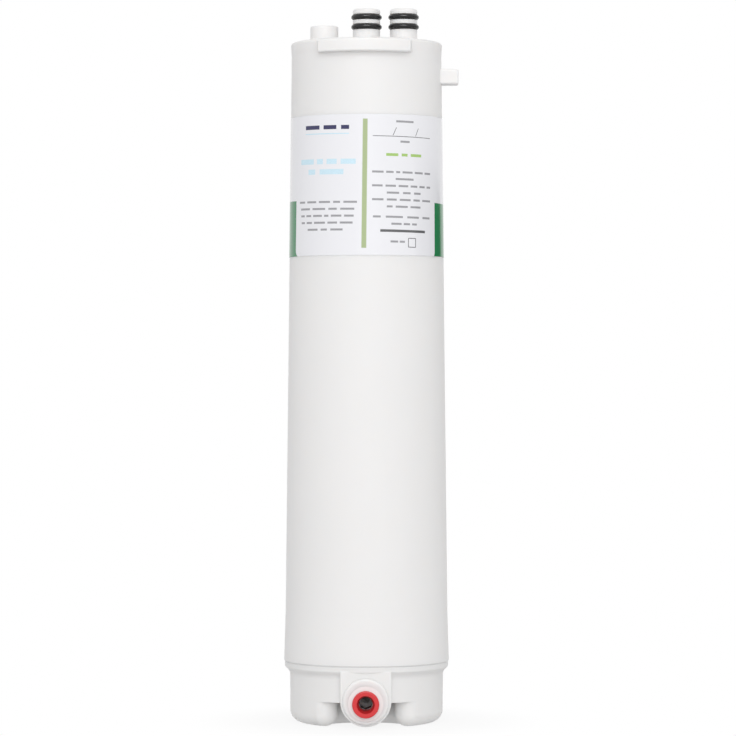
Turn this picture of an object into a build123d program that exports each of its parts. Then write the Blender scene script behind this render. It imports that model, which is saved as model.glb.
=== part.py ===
from build123d import *
import math
import os

os.makedirs("parts", exist_ok=True)

# Reverse osmosis membrane cartridge, standing on its base, in millimetres.
# The origin is the middle of the base. +Z runs up the axis to the nozzles.
# The drain port faces -Y and the feed nozzle stands on the +X side.

# Drain tube and push-in fitting, radii from the tube outwards, depths from the collar face
tube_bore_radius = 3.3
collet_wall = 1.7
collet_barrel_radius = tube_bore_radius + collet_wall
collet_mouth_flare = 0.9
collet_mouth_radius = tube_bore_radius + collet_mouth_flare
collet_mouth_depth = 4.2
collet_flange_reach = 1.3
collet_flange_radius = collet_barrel_radius + collet_flange_reach
collet_flange_thickness = 2.2
collet_rim_radius = 0.6
collet_hook_reach = 0.7
collet_hook_radius = collet_barrel_radius + collet_hook_reach
collet_gap = 0.3
retainer_bore_radius = collet_barrel_radius + collet_gap
retainer_ramp_rise = 0.8
retainer_ramp_radius = retainer_bore_radius + retainer_ramp_rise
chamber_step = 0.3
chamber_radius = retainer_ramp_radius + chamber_step
retainer_seat_width = 1.8
retainer_radius = chamber_radius + retainer_seat_width
retainer_throat = 4.0
retainer_ramp_length = 3.0
retainer_length = retainer_throat + retainer_ramp_length
hook_lead = 1.8
collet_hook_start = retainer_throat + hook_lead
hook_ramp_length = 1.8
grip_ring_depth = collet_hook_start + hook_ramp_length
finger_tip_length = 1.6
collet_length = grip_ring_depth + finger_tip_length
release_travel = 1.6
travel_spare = 0.5
collet_stand_off = release_travel + travel_spare
collet_slot_width = 0.8
collet_slot_count = 4
collet_slot_angle = 45.0
grip_ring_thickness = 0.4
grip_bite = 0.18
grip_ring_inner_radius = tube_bore_radius - grip_bite
grip_seat_width = 1.1
grip_ring_outer_radius = tube_bore_radius + grip_seat_width
grip_tooth_count = 8
grip_tooth_gap = 0.7
grip_tooth_share = 0.6
bush_fit_gap = 0.03
spacer_depth = collet_length + release_travel + travel_spare
spacer_thickness = 1.6
spacer_gap = 0.3
spacer_bore_radius = tube_bore_radius + spacer_gap
tube_seal_squeeze = 0.2
tube_seal_inner_radius = tube_bore_radius - tube_seal_squeeze
tube_seal_section = 2.3
tube_seal_room = 0.2
tube_land_length = 5.1
drain_passage_radius = 1.6
drain_riser_setback = 3.9
riser_step = 0.3
riser_radius = drain_passage_radius + riser_step
riser_sump = 0.8
restrictor_radius = 2.6
restrictor_rise = 3.6
restrictor_length = 8.0
restrictor_hole_radius = 0.3

# Drain-port boss, whose height sets the height of the bottom cap
boss_radius = 11.9
boss_floor_gap = 1.0
boss_axis_z = boss_radius + boss_floor_gap
boss_edge_radius = 0.5
boss_cover = 4.2
boss_top_rise = 0.6
boss_setback = 0.8
boss_root = 3.4
collar_proud = 2.4
collar_step = 1.1
collar_edge_radius = 1.2
port_drop = 0.9
port_axis_z = boss_axis_z - port_drop
weld_z = boss_axis_z + boss_radius + boss_cover

# Element, which the canister is sized around
tube_radius = 8.5
tube_wall = 2.9
tube_inner_radius = tube_radius - tube_wall
tube_end_gap = 1.0
tube_fit_gap = 0.05
tube_hole_radius = 1.2
tube_hole_count = 8
roll_radius = 29.2
roll_length = 254.0
wrap_thickness = 0.35
wrap_inner_radius = roll_radius + bush_fit_gap
element_radius = wrap_inner_radius + wrap_thickness
end_cap_height = 6.0
end_cap_hub_wall = 3.5
end_cap_rim_width = 3.2
end_cap_spoke_width = 3.0
end_cap_spoke_count = 6
seal_groove_depth = 1.8
seal_groove_height = 3.6
brine_lip_rise = 3.2
brine_lip_thickness = 0.9
brine_lip_gap = 0.1
stem_seal_section = 1.78
stem_groove_width = 2.3
stem_seal_drop = 3.4
stem_seal_pitch = 3.8
ledge_rise = 1.0
support_ledge_z = weld_z + ledge_rise
support_wall = 3.0
support_socket_depth = 5.0
roll_lift = 14.0
roll_base_z = support_ledge_z + roll_lift
roll_top_z = roll_base_z + roll_length
plug_flange_thickness = 2.0
plug_length = 12.0

# Canister
feed_space = 13.3
cavity_top_z = roll_top_z + end_cap_height + feed_space
top_wall = 5.0
canister_top_z = cavity_top_z + top_wall
canister_wall = 3.4
brine_space = 2.62
neck_radius = element_radius + brine_space + canister_wall
wall_taper = 2.9
waist_radius = neck_radius + wall_taper
foot_flare = 0.7
foot_radius = waist_radius + foot_flare
flare_height = 23.0
bead_height = 6.5
bead_step = 0.3
bead_radius = neck_radius + bead_step
top_edge_radius = 1.26
top_edge_land = 0.14
cavity_corner_radius = 3.0
seam_bevel = 0.2
socket_wall = 3.4
socket_depth = 10.4

# Nozzles and locating post on the top face
nozzle_radius = 6.5
nozzle_height = 16.4
nozzle_tip_bevel = 0.7
nozzle_root_bevel = 0.6
nozzle_bore_radius = 2.8
feed_nozzle_x = 17.65
post_radius = 6.65
post_height = 8.2
post_edge_radius = 0.5
post_x = -20.1

# Nozzle seals, a standard size of 9.8 by 2.4
seal_inner_radius = 4.9
seal_section = 2.4
seal_fit_gap = 0.02
groove_width = 2.8
seal_inset = 3.8
seal_pitch = 4.65
upper_seal_height = nozzle_height - seal_inset
lower_seal_height = upper_seal_height - seal_pitch

# Bayonet lugs at the top edge and stop tab below them
lug_reach = 5.0
lug_root_half_width = 22.4
lug_tip_half_width = 21.2
lug_height = 5.9
lug_drop = 0.9
lug_turn = -1.4
lug_edge_radius = 0.8
tab_reach = 8.1
tab_root_half_width = 7.0
tab_tip_half_width = 6.0
tab_drop = 12.4
tab_height = 7.1
tab_edge_radius = 0.8

# Bottom cap
rim_step = 0.4
rim_radius = foot_radius - rim_step
rim_height = 2.6
rim_edge_radius = 0.8
rim_overhang = 2.4
cap_radius = rim_radius - rim_overhang
cap_draft = 0.15
shoulder_height = 2.4
shoulder_root_radius = 3.0
cap_wall = 3.8
base_edge_radius = 5.8
spigot_height = 6.0
spigot_wall = 2.4
weld_gap = 0.05

# Scoop under the front of the cap
scoop_side_gap = 1.5
scoop_half_width = boss_radius + scoop_side_gap
scoop_ceiling_drop = 1.0
scoop_ceiling_z = boss_axis_z - scoop_ceiling_drop
scoop_flank_length = 0.8
scoop_corner_radius = 7.5
scoop_mouth_radius = 6.2

# Label
label_drop = 35.9
label_height = 65.8
label_thickness = 0.15
adhesive_thickness = 0.03
label_seam_gap = 2.0

# Length by which cuts and joined blocks run past a face
overrun = 1.0


def turned(corners, sweep=360.0):
    """Solid turned about Z from corners given as radius, height and rounding."""
    points = [(radius, height) for radius, height, _ in corners]
    rounding = [corner_radius for _, _, corner_radius in corners]
    profile = make_face(FilletPolyline(*points, radius=rounding, close=True))
    return revolve(Plane.XZ * profile, Axis.Z, revolution_arc=sweep)


def sharp(*corners):
    """Corners of a turned profile without rounding."""
    return [(radius, height, 0) for radius, height in corners]


def outer_radius(z):
    """Outside radius of the straight taper of the canister wall."""
    taper_base = weld_z + flare_height
    taper_top = canister_top_z - bead_height
    along = (z - taper_base) / (taper_top - taper_base)
    return waist_radius + (neck_radius - waist_radius) * along


def inner_radius(z):
    """Inside radius of the canister at a height."""
    return outer_radius(z) - canister_wall


def seal_ring(inner, section):
    """Ring of round section lying about Z at the origin."""
    return Torus(inner + section / 2, section / 2)


def tapered_tab(root_y, tip_y, root_half_width, tip_half_width, height):
    """Block that narrows towards its tip, with the tip towards -Y."""
    outline = Polygon(
        (-tip_half_width, tip_y),
        (tip_half_width, tip_y),
        (root_half_width, root_y),
        (-root_half_width, root_y),
        align=None,
    )
    return extrude(outline, amount=height)


# Frame of the port: its Z runs inwards along the port axis from the collar face.
boss_front_y = -(rim_radius - boss_setback)
collar_face_y = boss_front_y - collar_proud
port_frame = Plane(origin=(0, collar_face_y, port_axis_z), x_dir=(1, 0, 0), z_dir=(0, 1, 0))

# Pressure vessel: the canister with its nozzles, locating post, lugs and tab.
bead_base_z = canister_top_z - bead_height
shell = turned(
    [
        (0, weld_z, 0),
        (foot_radius - seam_bevel, weld_z, 0),
        (foot_radius, weld_z + 2 * seam_bevel, 0),
        (waist_radius, weld_z + flare_height, 0),
        (neck_radius, bead_base_z, 0),
        (bead_radius, canister_top_z - top_edge_radius - top_edge_land, 0),
        (bead_radius, canister_top_z, top_edge_radius),
        (0, canister_top_z, 0),
    ]
)
cavity = turned(
    [
        (0, weld_z - overrun, 0),
        (inner_radius(weld_z - overrun), weld_z - overrun, 0),
        (inner_radius(cavity_top_z), cavity_top_z, cavity_corner_radius),
        (0, cavity_top_z, 0),
    ]
)

groove_radius = seal_inner_radius - seal_fit_gap
groove_half = groove_width / 2
nozzle_corners = sharp(
    (0, -overrun),
    (nozzle_radius + nozzle_root_bevel, -overrun),
    (nozzle_radius + nozzle_root_bevel, 0),
    (nozzle_radius, nozzle_root_bevel),
    (nozzle_radius, lower_seal_height - groove_half),
    (groove_radius, lower_seal_height - groove_half),
    (groove_radius, lower_seal_height + groove_half),
    (nozzle_radius, lower_seal_height + groove_half),
    (nozzle_radius, upper_seal_height - groove_half),
    (groove_radius, upper_seal_height - groove_half),
    (groove_radius, upper_seal_height + groove_half),
    (nozzle_radius, upper_seal_height + groove_half),
    (nozzle_radius, nozzle_height - nozzle_tip_bevel),
    (nozzle_radius - nozzle_tip_bevel, nozzle_height),
    (0, nozzle_height),
)
nozzle = turned(nozzle_corners)
permeate_place = Pos(0, 0, canister_top_z)
feed_place = Pos(feed_nozzle_x, 0, canister_top_z)
post = turned(
    [
        (0, -overrun, 0),
        (post_radius, -overrun, 0),
        (post_radius, post_height, post_edge_radius),
        (0, post_height, 0),
    ]
)

lug_radius = neck_radius + lug_reach
lug_base_z = canister_top_z - lug_drop - lug_height
lug_root_y = -math.sqrt(neck_radius**2 - lug_root_half_width**2) + canister_wall
lug_block = tapered_tab(
    lug_root_y,
    -lug_radius - overrun,
    lug_root_half_width,
    lug_tip_half_width,
    lug_height,
)
lug = lug_block & Cylinder(lug_radius, 4 * lug_height)
lug = fillet(lug.edges().filter_by(lambda e: e.center().Y < lug_root_y - lug_edge_radius), lug_edge_radius)
tab_root_y = -math.sqrt(neck_radius**2 - tab_root_half_width**2) + canister_wall
tab_tip_y = -(neck_radius + tab_reach)
tab = tapered_tab(tab_root_y, tab_tip_y, tab_root_half_width, tab_tip_half_width, tab_height)
tab = fillet(tab.edges().filter_by(lambda e: e.center().Y < tab_root_y - tab_edge_radius), tab_edge_radius)

tube_base_z = support_ledge_z + plug_flange_thickness
tube_top_z = cavity_top_z - tube_end_gap
socket_bore = tube_radius + 2 * tube_fit_gap
socket = Pos(0, 0, cavity_top_z - socket_depth) * Cylinder(
    socket_bore + socket_wall,
    socket_depth + overrun,
    align=(Align.CENTER, Align.CENTER, Align.MIN),
)
socket_hole = Pos(0, 0, cavity_top_z) * Cylinder(
    socket_bore,
    2 * socket_depth,
    align=(Align.CENTER, Align.CENTER, Align.MAX),
)
bore_length = top_wall + nozzle_height + 2 * overrun
nozzle_bore = Pos(0, 0, -top_wall - overrun) * Cylinder(
    nozzle_bore_radius,
    bore_length,
    align=(Align.CENTER, Align.CENTER, Align.MIN),
)
pressure_vessel = shell + permeate_place * nozzle + feed_place * nozzle
pressure_vessel += Pos(post_x, 0, canister_top_z) * post
pressure_vessel += Pos(0, 0, lug_base_z) * Rot(0, 0, lug_turn) * lug
pressure_vessel += Pos(0, 0, lug_base_z) * Rot(0, 0, lug_turn + 180) * lug
pressure_vessel += Pos(0, 0, canister_top_z - tab_drop - tab_height) * Rot(0, 0, 90) * tab
pressure_vessel -= cavity
pressure_vessel += socket
pressure_vessel -= socket_hole
pressure_vessel -= permeate_place * nozzle_bore
pressure_vessel -= feed_place * nozzle_bore
export_step(pressure_vessel, "parts/pressure_vessel.step")

# Nozzle seals, stretched into the grooves of the two nozzles.
nozzle_seal = seal_ring(seal_inner_radius, seal_section)
export_step(permeate_place * Pos(0, 0, upper_seal_height) * nozzle_seal, "parts/permeate_upper_o_ring.step")
export_step(permeate_place * Pos(0, 0, lower_seal_height) * nozzle_seal, "parts/permeate_lower_o_ring.step")
export_step(feed_place * Pos(0, 0, upper_seal_height) * nozzle_seal, "parts/feed_upper_o_ring.step")
export_step(feed_place * Pos(0, 0, lower_seal_height) * nozzle_seal, "parts/feed_lower_o_ring.step")

# Bottom cap: the foot is a horseshoe in plan, because the scoop is cut from its front.
cap_foot_radius = cap_radius - cap_draft
rim_lower_z = weld_z - rim_height
shoulder_foot_z = rim_lower_z - shoulder_height
mouth_centre_x = scoop_half_width + scoop_mouth_radius
mouth_y = -math.sqrt((cap_foot_radius - scoop_mouth_radius) ** 2 - mouth_centre_x**2)
scoop_end_y = mouth_y + scoop_flank_length + scoop_corner_radius


def foot_outline(inset):
    """Plan of the foot, or of the pocket in it when the outline is moved in by a wall."""
    end_y = scoop_end_y + inset
    scoop_length = cap_radius + end_y
    scoop = Rectangle(2 * (scoop_half_width + inset), scoop_length, align=(Align.CENTER, Align.MAX))
    plan = Circle(cap_foot_radius - inset) - Pos(0, end_y) * scoop
    plan = fillet(plan.vertices().group_by(Axis.Y)[0], scoop_mouth_radius - inset)
    inner_corners = plan.vertices().filter_by(lambda v: abs(v.Y - end_y) < weld_gap)
    return fillet(inner_corners, scoop_corner_radius + inset)


foot = extrude(foot_outline(0), amount=scoop_ceiling_z)
foot = fillet(foot.edges().group_by(Axis.Z)[0], base_edge_radius)
upper_cap = turned(
    [
        (0, scoop_ceiling_z, 0),
        (cap_foot_radius, scoop_ceiling_z, 0),
        (cap_radius, shoulder_foot_z, shoulder_root_radius),
        (rim_radius, rim_lower_z, rim_edge_radius),
        (rim_radius, weld_z - 2 * seam_bevel, 0),
        (rim_radius - seam_bevel, weld_z, 0),
        (0, weld_z, 0),
    ]
)
spigot_top_z = weld_z + spigot_height
spigot = turned(
    sharp(
        (0, weld_z - overrun),
        (inner_radius(weld_z) - weld_gap, weld_z - overrun),
        (inner_radius(weld_z) - weld_gap, weld_z),
        (inner_radius(spigot_top_z) - weld_gap, spigot_top_z),
        (0, spigot_top_z),
    )
)

boss_back_y = scoop_end_y + boss_root
boss_plan = Pos(0, boss_axis_z) * Circle(boss_radius)
boss_top_z = rim_lower_z + boss_top_rise
boss_plan += Pos(0, (boss_axis_z + boss_top_z) / 2) * Rectangle(2 * boss_radius, boss_top_z - boss_axis_z)
boss = extrude(Plane.XZ.offset(-boss_back_y) * boss_plan, amount=boss_back_y - boss_front_y)
boss = fillet(boss.edges().group_by(Axis.Y)[0], boss_edge_radius)
collar_frame = Plane(origin=(0, collar_face_y, boss_axis_z), x_dir=(1, 0, 0), z_dir=(0, 1, 0))
collar = collar_frame * turned(
    [
        (0, 0, 0),
        (boss_radius - collar_step, 0, collar_edge_radius),
        (boss_radius - collar_step, collar_proud + overrun, 0),
        (0, collar_proud + overrun, 0),
    ]
)

ceiling_z = scoop_ceiling_z + cap_wall
lower_pocket = Pos(0, 0, cap_wall) * extrude(foot_outline(cap_wall), amount=ceiling_z - cap_wall + overrun)
pocket_radius = inner_radius(weld_z) - weld_gap - spigot_wall
upper_pocket = Pos(0, 0, ceiling_z) * Cylinder(
    pocket_radius,
    spigot_top_z - ceiling_z + overrun,
    align=(Align.CENTER, Align.CENTER, Align.MIN),
)
port_block_top_z = boss_axis_z + boss_radius
port_block = Pos(0, boss_back_y, 0) * Box(
    2 * boss_radius,
    2 * cap_radius,
    port_block_top_z,
    align=(Align.CENTER, Align.MAX, Align.MIN),
)
support_bore = tube_radius + tube_fit_gap
support_top_z = support_ledge_z + support_socket_depth
support = turned(
    sharp(
        (0, cap_wall - overrun),
        (support_bore + support_wall, cap_wall - overrun),
        (support_bore + support_wall, support_top_z),
        (support_bore, support_top_z),
        (support_bore, support_ledge_z),
        (tube_inner_radius, support_ledge_z),
        (tube_inner_radius, cap_wall),
        (0, cap_wall),
    )
)

chamber_end = spacer_depth + spacer_thickness
tube_seal_bore = tube_seal_inner_radius + tube_seal_section + bush_fit_gap
tube_seal_end = chamber_end + tube_seal_section + tube_seal_room
tube_stop_depth = tube_seal_end + tube_land_length
drain_riser_depth = tube_stop_depth + drain_riser_setback
drain_riser_y = collar_face_y + drain_riser_depth
restrictor_seat_z = port_axis_z + restrictor_rise
port_bores = port_frame * turned(
    sharp(
        (0, -overrun),
        (retainer_radius, -overrun),
        (retainer_radius, retainer_length),
        (chamber_radius, retainer_length),
        (chamber_radius, chamber_end),
        (tube_seal_bore, chamber_end),
        (tube_seal_bore, tube_seal_end),
        (tube_bore_radius, tube_seal_end),
        (tube_bore_radius, tube_stop_depth),
        (drain_passage_radius, tube_stop_depth),
        (drain_passage_radius, drain_riser_depth),
        (0, drain_riser_depth),
    )
)
riser_floor_z = port_axis_z - drain_passage_radius - riser_sump
riser = Pos(0, drain_riser_y, 0) * turned(
    sharp(
        (0, riser_floor_z),
        (riser_radius, riser_floor_z),
        (riser_radius, restrictor_seat_z),
        (restrictor_radius, restrictor_seat_z),
        (restrictor_radius, port_block_top_z + overrun),
        (0, port_block_top_z + overrun),
    )
)
cap_blank = foot + upper_cap + spigot
bottom_cap = cap_blank - (upper_pocket - port_block)
bottom_cap -= lower_pocket
bottom_cap += support & cap_blank
bottom_cap += boss
bottom_cap += collar
bottom_cap -= port_bores
bottom_cap -= riser
export_step(bottom_cap, "parts/bottom_cap.step")

# Collet retainer: a ring pressed into the boss, flush with the collar face.
collet_retainer = port_frame * turned(
    sharp(
        (retainer_bore_radius, 0),
        (retainer_radius - bush_fit_gap, 0),
        (retainer_radius - bush_fit_gap, retainer_length),
        (retainer_ramp_radius, retainer_length),
        (retainer_bore_radius, retainer_throat),
    )
)
export_step(collet_retainer, "parts/collet_retainer.step")

# Release collet: flange to push on, barrel with slots, and hooked fingers at the inner end.
collet_front = -collet_stand_off - collet_flange_thickness
collet_body = turned(
    [
        (tube_bore_radius, collet_front + collet_mouth_depth, 0),
        (collet_mouth_radius, collet_front, 0),
        (collet_flange_radius, collet_front, collet_rim_radius),
        (collet_flange_radius, -collet_stand_off, collet_rim_radius / 2),
        (collet_barrel_radius, -collet_stand_off, 0),
        (collet_barrel_radius, collet_hook_start, 0),
        (collet_hook_radius, grip_ring_depth, 0),
        (collet_hook_radius, collet_length, 0),
        (tube_bore_radius, collet_length, 0),
    ]
)
slot = Pos(0, 0, collet_length) * Box(
    collet_slot_width,
    4 * collet_hook_radius,
    2 * (collet_length - retainer_throat / 2),
)
for turn in range(collet_slot_count // 2):
    collet_body -= Rot(0, 0, collet_slot_angle + turn * 360 / collet_slot_count) * slot
ring_groove = Pos(0, 0, grip_ring_depth) * Cylinder(
    grip_ring_outer_radius + bush_fit_gap,
    grip_ring_thickness + 2 * bush_fit_gap,
)
collet_body -= ring_groove
release_collet = port_frame * collet_body
export_step(release_collet, "parts/release_collet.step")

# Grip ring: stamped steel, with teeth that point at the tube.
grip_plan = Circle(grip_ring_outer_radius) - Circle(grip_ring_inner_radius)
tooth_gap_length = grip_tooth_share * (grip_ring_outer_radius - grip_ring_inner_radius)
tooth_gap = Pos(grip_ring_inner_radius, 0) * Rectangle(2 * tooth_gap_length, grip_tooth_gap)
for tooth in range(grip_tooth_count):
    grip_plan -= Rot(0, 0, tooth * 360 / grip_tooth_count) * tooth_gap
grip_blank = extrude(grip_plan, amount=grip_ring_thickness)
grip_ring = port_frame * Pos(0, 0, grip_ring_depth - grip_ring_thickness / 2) * grip_blank
export_step(grip_ring, "parts/grip_ring.step")

# Spacer and seal of the drain tube, stacked on the step inside the boss.
tube_seal_spacer = port_frame * turned(
    sharp(
        (spacer_bore_radius, spacer_depth),
        (chamber_radius - bush_fit_gap, spacer_depth),
        (chamber_radius - bush_fit_gap, chamber_end),
        (spacer_bore_radius, chamber_end),
    )
)
export_step(tube_seal_spacer, "parts/tube_seal_spacer.step")
tube_seal = seal_ring(tube_seal_inner_radius, tube_seal_section)
tube_seal_depth = chamber_end + (tube_seal_section + tube_seal_room) / 2
export_step(port_frame * Pos(0, 0, tube_seal_depth) * tube_seal, "parts/tube_o_ring.step")

# Flow restrictor: a plug with a fine hole, seated in the riser of the drain passage.
flow_restrictor = Pos(0, drain_riser_y, 0) * turned(
    sharp(
        (restrictor_hole_radius, restrictor_seat_z),
        (restrictor_radius - bush_fit_gap, restrictor_seat_z),
        (restrictor_radius - bush_fit_gap, restrictor_seat_z + restrictor_length),
        (restrictor_hole_radius, restrictor_seat_z + restrictor_length),
    )
)
export_step(flow_restrictor, "parts/flow_restrictor.step")

# Permeate tube: the perforated core of the element, with two seal grooves at its upper end.
stem_groove_radius = socket_bore - seal_fit_gap - stem_seal_section - seal_fit_gap
stem_upper_z = tube_top_z - stem_seal_drop
stem_lower_z = stem_upper_z - stem_seal_pitch
stem_half = stem_groove_width / 2
permeate_tube = turned(
    sharp(
        (tube_inner_radius, tube_base_z),
        (tube_radius, tube_base_z),
        (tube_radius, stem_lower_z - stem_half),
        (stem_groove_radius, stem_lower_z - stem_half),
        (stem_groove_radius, stem_lower_z + stem_half),
        (tube_radius, stem_lower_z + stem_half),
        (tube_radius, stem_upper_z - stem_half),
        (stem_groove_radius, stem_upper_z - stem_half),
        (stem_groove_radius, stem_upper_z + stem_half),
        (tube_radius, stem_upper_z + stem_half),
        (tube_radius, tube_top_z),
        (tube_inner_radius, tube_top_z),
    )
)
hole_pitch = roll_length / tube_hole_count
drill = Rot(0, 90, 0) * Cylinder(tube_hole_radius, 4 * tube_radius)
for hole in range(tube_hole_count):
    hole_z = roll_base_z + (hole + 0.5) * hole_pitch
    permeate_tube -= Pos(0, 0, hole_z) * Rot(0, 0, 90 * (hole % 2)) * drill
export_step(permeate_tube, "parts/permeate_tube.step")

# Seals of the tube's upper end, between the tube and the socket of the canister.
stem_seal = seal_ring(stem_groove_radius + seal_fit_gap, stem_seal_section)
export_step(Pos(0, 0, stem_upper_z) * stem_seal, "parts/stem_upper_o_ring.step")
export_step(Pos(0, 0, stem_lower_z) * stem_seal, "parts/stem_lower_o_ring.step")

# Tube plug: closes the lower end of the tube and stands on the ledge of the cap.
tube_plug = turned(
    sharp(
        (0, support_ledge_z),
        (tube_radius, support_ledge_z),
        (tube_radius, tube_base_z),
        (tube_inner_radius - tube_fit_gap, tube_base_z),
        (tube_inner_radius - tube_fit_gap, support_ledge_z + plug_length),
        (0, support_ledge_z + plug_length),
    )
)
export_step(tube_plug, "parts/tube_plug.step")

# Membrane roll: the wound leaves around the tube, and the film wrapped around them.
roll_bore = tube_radius + tube_fit_gap
membrane_roll = turned(
    sharp(
        (roll_bore, roll_base_z),
        (roll_radius, roll_base_z),
        (roll_radius, roll_top_z),
        (roll_bore, roll_top_z),
    )
)
export_step(membrane_roll, "parts/membrane_roll.step")
element_wrap = turned(
    sharp(
        (wrap_inner_radius, roll_base_z),
        (element_radius, roll_base_z),
        (element_radius, roll_top_z),
        (wrap_inner_radius, roll_top_z),
    )
)
export_step(element_wrap, "parts/element_wrap.step")

# End caps: spoked discs on the tube that keep the roll from telescoping.
end_cap_plan = Circle(element_radius) - Circle(element_radius - end_cap_rim_width)
spoke_length = element_radius - end_cap_rim_width / 2
spoke = Pos(spoke_length / 2, 0) * Rectangle(spoke_length, end_cap_spoke_width)
for arm in range(end_cap_spoke_count):
    end_cap_plan += Rot(0, 0, arm * 360 / end_cap_spoke_count) * spoke
end_cap_plan += Circle(tube_radius + end_cap_hub_wall)
end_cap_plan -= Circle(roll_bore)
end_cap = extrude(end_cap_plan, amount=end_cap_height)
export_step(Pos(0, 0, roll_base_z - end_cap_height) * end_cap, "parts/lower_end_cap.step")
groove_base = (end_cap_height - seal_groove_height) / 2
groove_floor = element_radius - seal_groove_depth
seal_groove = turned(
    sharp(
        (groove_floor, groove_base),
        (element_radius + overrun, groove_base),
        (element_radius + overrun, groove_base + seal_groove_height),
        (groove_floor, groove_base + seal_groove_height),
    )
)
export_step(Pos(0, 0, roll_top_z) * (end_cap - seal_groove), "parts/upper_end_cap.step")

# Brine seal: a lip ring in the groove of the upper end cap, open towards the feed.
lip_tip_z = groove_base + seal_groove_height + brine_lip_rise - seal_groove_height / 2
lip_radius = inner_radius(roll_top_z + lip_tip_z) - brine_lip_gap
seat_radius = groove_floor + bush_fit_gap
seat_base = groove_base + bush_fit_gap
seat_top = groove_base + seal_groove_height - bush_fit_gap
brine_seal = Pos(0, 0, roll_top_z) * turned(
    sharp(
        (seat_radius, seat_base),
        (element_radius + brine_lip_thickness, seat_base),
        (lip_radius, lip_tip_z),
        (lip_radius - brine_lip_thickness, lip_tip_z),
        (element_radius + bush_fit_gap, seat_base + brine_lip_thickness),
        (element_radius, seat_top),
        (seat_radius, seat_top),
    )
)
export_step(brine_seal, "parts/brine_seal.step")

# Label: printed film around the taper, with its two ends nearly meeting at the back.
label_top_z = canister_top_z - label_drop
label_base_z = label_top_z - label_height
label_inner = [outer_radius(z) + adhesive_thickness for z in (label_base_z, label_top_z)]
seam_angle = math.degrees(label_seam_gap / waist_radius)
label_strip = turned(
    sharp(
        (label_inner[0], label_base_z),
        (label_inner[0] + label_thickness, label_base_z),
        (label_inner[1] + label_thickness, label_top_z),
        (label_inner[1], label_top_z),
    ),
    sweep=360 - seam_angle,
)
label = Rot(0, 0, 90 + seam_angle / 2) * label_strip
export_step(label, "parts/label.step")
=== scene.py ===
import math

import bpy
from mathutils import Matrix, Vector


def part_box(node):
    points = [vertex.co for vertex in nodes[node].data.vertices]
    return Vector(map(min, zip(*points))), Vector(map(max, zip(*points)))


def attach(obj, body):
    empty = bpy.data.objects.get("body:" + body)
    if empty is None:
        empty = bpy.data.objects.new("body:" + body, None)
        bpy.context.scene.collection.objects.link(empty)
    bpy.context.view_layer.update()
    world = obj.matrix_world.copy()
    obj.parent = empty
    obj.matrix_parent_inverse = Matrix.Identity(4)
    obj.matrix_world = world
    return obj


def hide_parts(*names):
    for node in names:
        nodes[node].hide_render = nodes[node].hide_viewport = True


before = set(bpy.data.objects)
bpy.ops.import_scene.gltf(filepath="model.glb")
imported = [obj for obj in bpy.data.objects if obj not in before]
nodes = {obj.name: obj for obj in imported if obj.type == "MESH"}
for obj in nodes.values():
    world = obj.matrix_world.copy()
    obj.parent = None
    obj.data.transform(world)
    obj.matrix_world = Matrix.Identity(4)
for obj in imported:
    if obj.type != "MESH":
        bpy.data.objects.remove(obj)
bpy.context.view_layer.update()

# Permeate tube and tube plug
# The tube is the perforated core that collects the filtered water, extruded in natural ABS.
# The plug is moulded in the same plastic and glued into its lower end.
tube_colour = (0.74, 0.73, 0.69, 1.0)
tube_shade = (0.68, 0.67, 0.62, 1.0)
tube_clouds = 60.0
tube_roughness = (0.34, 0.44)
die_line_spacing = 0.0006
die_line_depth = 0.00003
die_line_stretch = 0.01


def add_node(tree, kind, inputs=None, **settings):
    """A node of a tree, with its settings made and its inputs set or linked."""
    node = tree.nodes.new(kind)
    for name, value in settings.items():
        setattr(node, name, value)
    for socket, value in (inputs or {}).items():
        if isinstance(value, bpy.types.NodeSocket):
            tree.links.new(value, node.inputs[socket])
        else:
            node.inputs[socket].default_value = value
    return node


def new_finish(name):
    """A fresh material with its node tree, its shader and the place on the piece."""
    material = bpy.data.materials.new(name)
    material.use_nodes = True
    tree = material.node_tree
    place = add_node(tree, "ShaderNodeTexCoord").outputs["Object"]
    return material, tree, tree.nodes["Principled BSDF"], place


def two_tone(tree, share, first, second):
    """Colour that runs between two tones by a share from 0 to 1."""
    return add_node(
        tree, "ShaderNodeMix", {"Factor": share, "A": first, "B": second}, data_type="RGBA"
    ).outputs["Result"]


def noise(tree, place, scale, detail=2.0):
    """Soft noise from 0 to 1 with a number of spots to the metre."""
    return add_node(
        tree, "ShaderNodeTexNoise", {"Vector": place, "Scale": scale, "Detail": detail}
    ).outputs["Fac"]


def between(tree, value, low, high):
    """A noise value spread over a range, from the band that most of the noise lies in."""
    band_low, band_high = 0.3, 0.7
    return add_node(
        tree,
        "ShaderNodeMapRange",
        {"Value": value, "From Min": band_low, "From Max": band_high, "To Min": low, "To Max": high},
    ).outputs["Result"]


def coat(tree, shader, colour, roughness):
    """Give a shader its colour and its roughness."""
    tree.links.new(colour, shader.inputs["Base Color"])
    tree.links.new(roughness, shader.inputs["Roughness"])


def raise_surface(tree, shader, height, depth):
    """Bump of a real depth on a shader."""
    bump = add_node(tree, "ShaderNodeBump", {"Height": height, "Distance": depth, "Strength": 1.0})
    tree.links.new(bump.outputs["Normal"], shader.inputs["Normal"])


def stretched(tree, place, along_z):
    """The place on a piece, stretched along the axis of the cartridge."""
    return add_node(
        tree, "ShaderNodeMapping", {"Vector": place, "Scale": (1.0, 1.0, along_z)}
    ).outputs["Vector"]


def wear(material, *names):
    """Put a finish on CAD nodes."""
    for name in names:
        mesh = nodes[name].data
        mesh.materials.clear()
        mesh.materials.append(material)


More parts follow.
